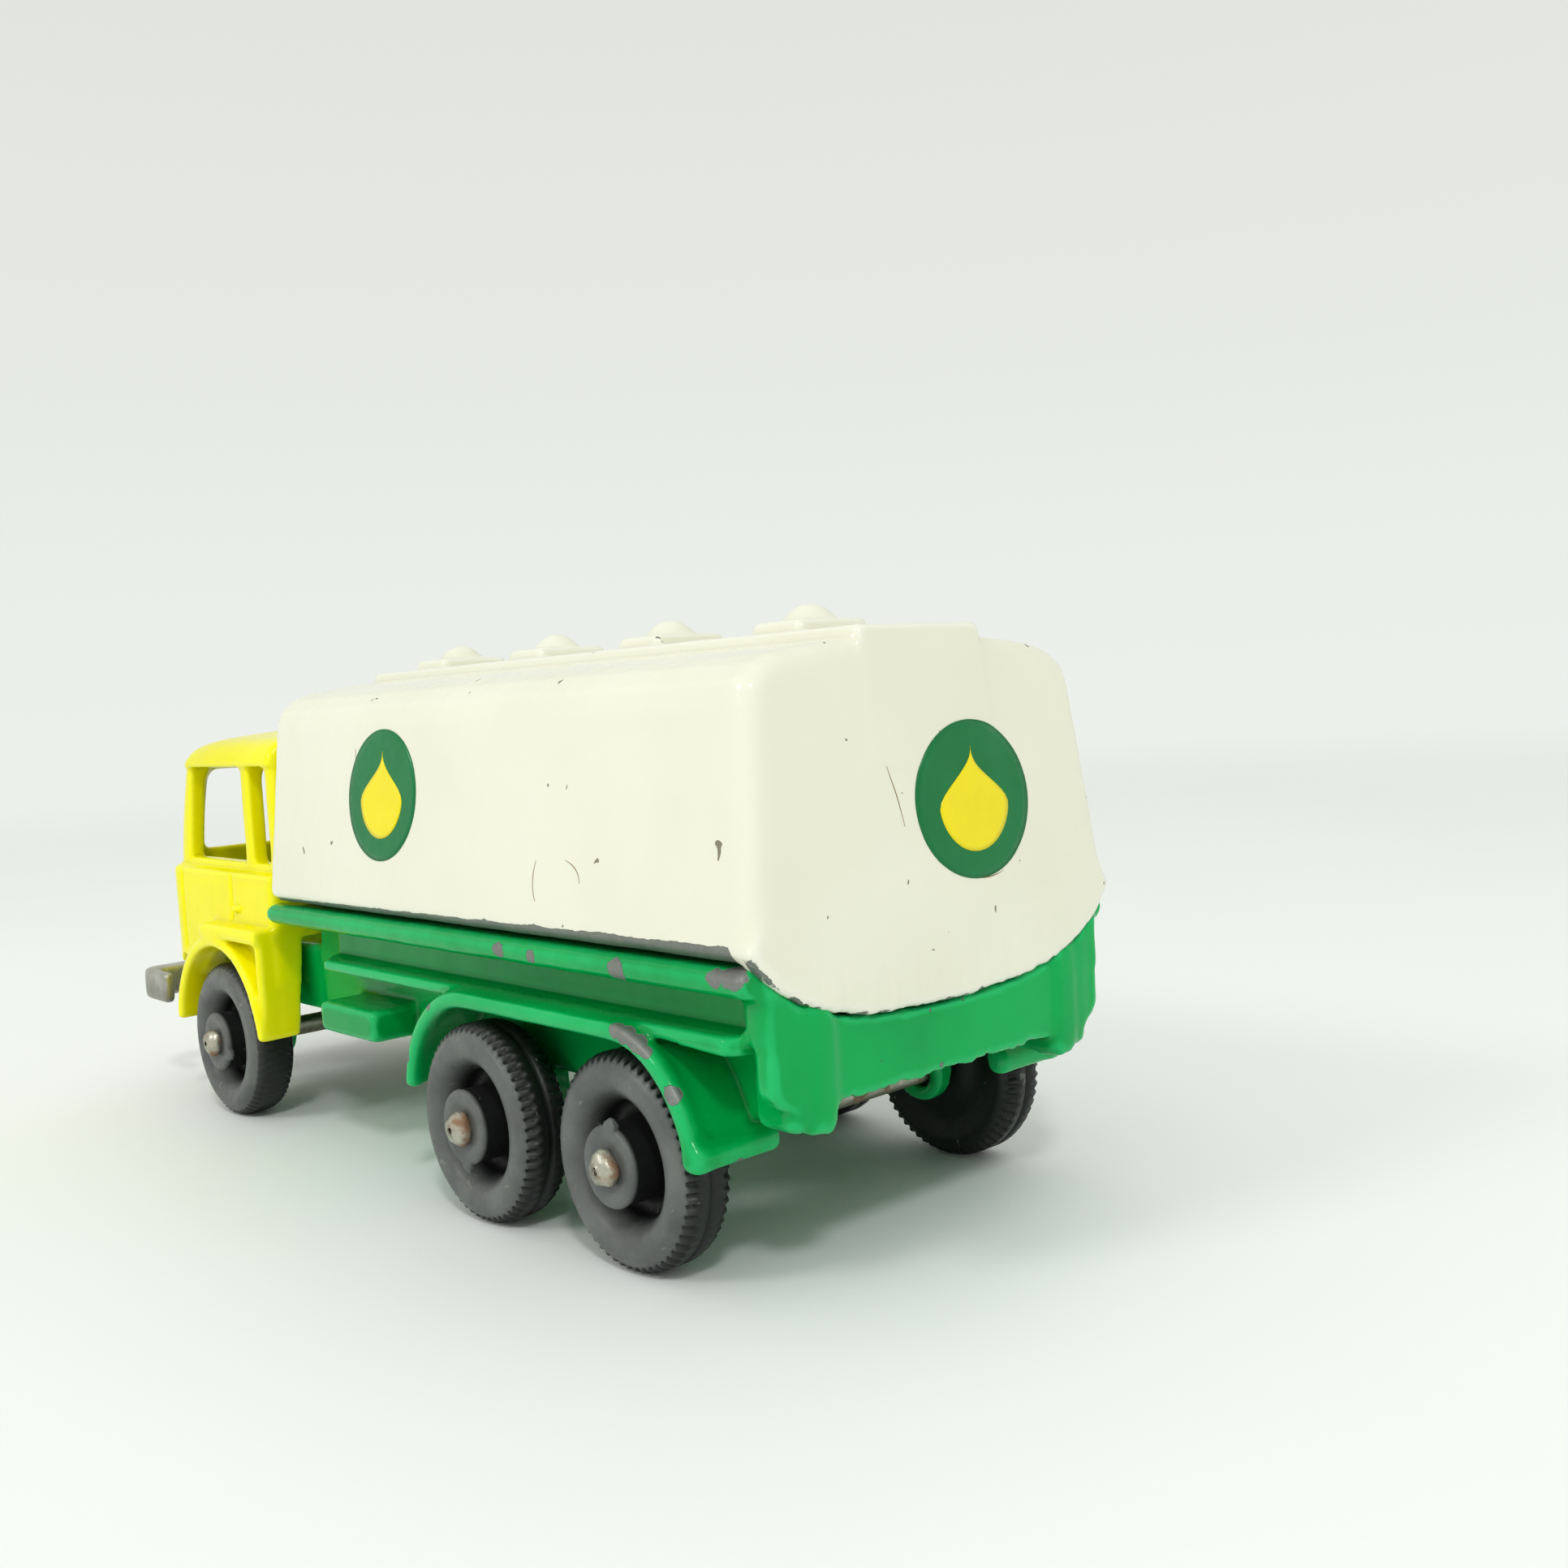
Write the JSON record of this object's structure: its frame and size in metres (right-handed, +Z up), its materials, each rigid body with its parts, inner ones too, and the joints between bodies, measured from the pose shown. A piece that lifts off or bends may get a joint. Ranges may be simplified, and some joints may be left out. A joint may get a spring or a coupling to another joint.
{
  "type": "toy tanker truck",
  "caption": "Small die-cast toy road tanker with a tilting cab, a round-shouldered tank with hatches, tandem mudguards and riveted plastic wheels.",
  "frame": {"origin": "on the ground, at the centre of the truck's outline seen from above", "axes": "+X to the front of the truck, +Y to its left, +Z up"},
  "size_m": [0.0752, 0.031, 0.0327],
  "materials": {
    "ivory_paint": "gloss enamel, slightly yellowed, with fine specks and chips",
    "green_paint": "gloss enamel, chipped to grey metal on the high edges",
    "yellow_paint": "gloss enamel, lemon yellow",
    "bare_zinc": "dull bare zinc casting",
    "steel": "dull steel with light tarnish",
    "wheel_plastic": "satin black moulded plastic, dusty grey"
  },
  "bodies": {
    "truck": {"chassis": "green_paint", "tank": "ivory_paint", "front_base": "bare_zinc", "cab_hinge_pin": "steel"},
    "cab": {"cab": "yellow_paint"},
    "front_axle": {"front_axle": "steel"},
    "middle_axle": {"middle_axle": "steel"},
    "rear_axle": {"rear_axle": "steel"},
    "front_wheel_left": {"front_wheel_left": "wheel_plastic"},
    "front_wheel_right": {"front_wheel_right": "wheel_plastic"},
    "middle_wheel_left": {"middle_wheel_left": "wheel_plastic"},
    "middle_wheel_right": {"middle_wheel_right": "wheel_plastic"},
    "rear_wheel_left": {"rear_wheel_left": "wheel_plastic"},
    "rear_wheel_right": {"rear_wheel_right": "wheel_plastic"}
  },
  "joints": [
    {"name": "cab_tilt", "type": "hinge", "parent": "truck", "child": "cab", "pos_m": [0.03, 0, 0.01], "axis": [0, 1, 0], "range_deg": [0, 50]},
    {"name": "front_axle_spin", "type": "hinge", "parent": "truck", "child": "front_axle", "pos_m": [0.021, 0, 0.0055], "axis": [0, 1, 0], "continuous": true},
    {"name": "middle_axle_spin", "type": "hinge", "parent": "truck", "child": "middle_axle", "pos_m": [-0.0143, 0, 0.0055], "axis": [0, 1, 0], "continuous": true},
    {"name": "rear_axle_spin", "type": "hinge", "parent": "truck", "child": "rear_axle", "pos_m": [-0.0267, 0, 0.0055], "axis": [0, 1, 0], "continuous": true},
    {"name": "front_wheel_left_spin", "type": "hinge", "parent": "front_axle", "child": "front_wheel_left", "pos_m": [0.021, 0.0115, 0.0055], "axis": [0, 1, 0], "continuous": true},
    {"name": "front_wheel_right_spin", "type": "hinge", "parent": "front_axle", "child": "front_wheel_right", "pos_m": [0.021, -0.0115, 0.0055], "axis": [0, 1, 0], "continuous": true},
    {"name": "middle_wheel_left_spin", "type": "hinge", "parent": "middle_axle", "child": "middle_wheel_left", "pos_m": [-0.0143, 0.0125, 0.0055], "axis": [0, 1, 0], "continuous": true},
    {"name": "middle_wheel_right_spin", "type": "hinge", "parent": "middle_axle", "child": "middle_wheel_right", "pos_m": [-0.0143, -0.0125, 0.0055], "axis": [0, 1, 0], "continuous": true},
    {"name": "rear_wheel_left_spin", "type": "hinge", "parent": "rear_axle", "child": "rear_wheel_left", "pos_m": [-0.0267, 0.0118, 0.0055], "axis": [0, 1, 0], "continuous": true},
    {"name": "rear_wheel_right_spin", "type": "hinge", "parent": "rear_axle", "child": "rear_wheel_right", "pos_m": [-0.0267, -0.0118, 0.0055], "axis": [0, 1, 0], "continuous": true}
  ]
}
